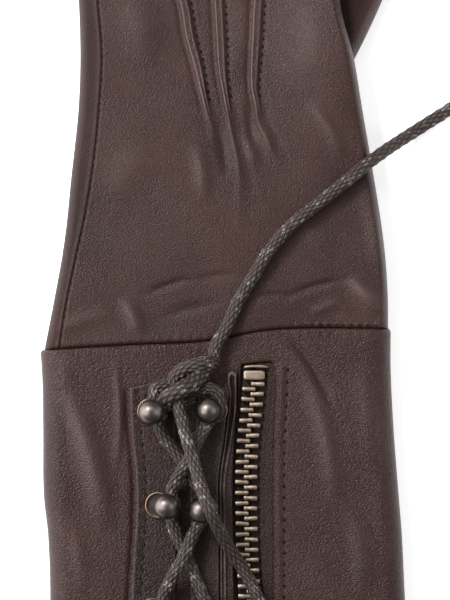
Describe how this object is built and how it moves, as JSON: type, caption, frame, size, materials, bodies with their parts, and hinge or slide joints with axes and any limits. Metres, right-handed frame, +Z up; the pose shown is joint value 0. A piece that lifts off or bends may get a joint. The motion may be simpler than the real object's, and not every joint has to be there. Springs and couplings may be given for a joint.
{
  "type": "long glove",
  "caption": "Long left-hand leather glove lying flat, with three raised points on the back and a flared cuff with laced ball studs and a brass zip.",
  "frame": {"origin": "below the middle of the glove's box, on the surface it lies on", "axes": "+Y from the hem towards the fingertips, +X towards the thumb, +Z up out of the back of the hand"},
  "size_m": [0.1259, 0.3968, 0.027],
  "materials": {
    "leather": "dark chocolate nappa, fine grain, soft sheen",
    "lace_cord": "waxed braided cotton, charcoal",
    "zip_tape": "dark brown woven tape",
    "zip_brass": "antique brass",
    "stud_metal": "polished gunmetal"
  },
  "bodies": {
    "root": {"back_panel": "leather", "palm_panel": "leather", "thumb": "leather", "fourchette_1": "leather", "fourchette_2": "leather", "fourchette_3": "leather", "cuff": "leather", "placket_left": "leather", "placket_right": "leather", "zip_welt": "leather", "lace_run_a": "lace_cord", "lace_run_b": "lace_cord", "lace_knot": "lace_cord", "lace_tail_up": "lace_cord", "lace_tail_down": "lace_cord", "lace_tip_up": "lace_cord", "lace_tip_down": "lace_cord", "zip_tape_left": "zip_tape", "zip_tape_right": "zip_tape", "zip_teeth_left": "zip_brass", "zip_teeth_right": "zip_brass", "zip_stop": "zip_brass", "zip_staple": "zip_brass", "zip_slider": "zip_brass", "stud_left_1": "stud_metal", "stud_left_2": "stud_metal", "stud_left_3": "stud_metal", "stud_left_4": "stud_metal", "stud_left_5": "stud_metal", "stud_left_6": "stud_metal", "stud_left_7": "stud_metal", "stud_right_1": "stud_metal", "stud_right_2": "stud_metal", "stud_right_3": "stud_metal", "stud_right_4": "stud_metal", "stud_right_5": "stud_metal", "stud_right_6": "stud_metal", "stud_right_7": "stud_metal"}
  },
  "joints": []
}
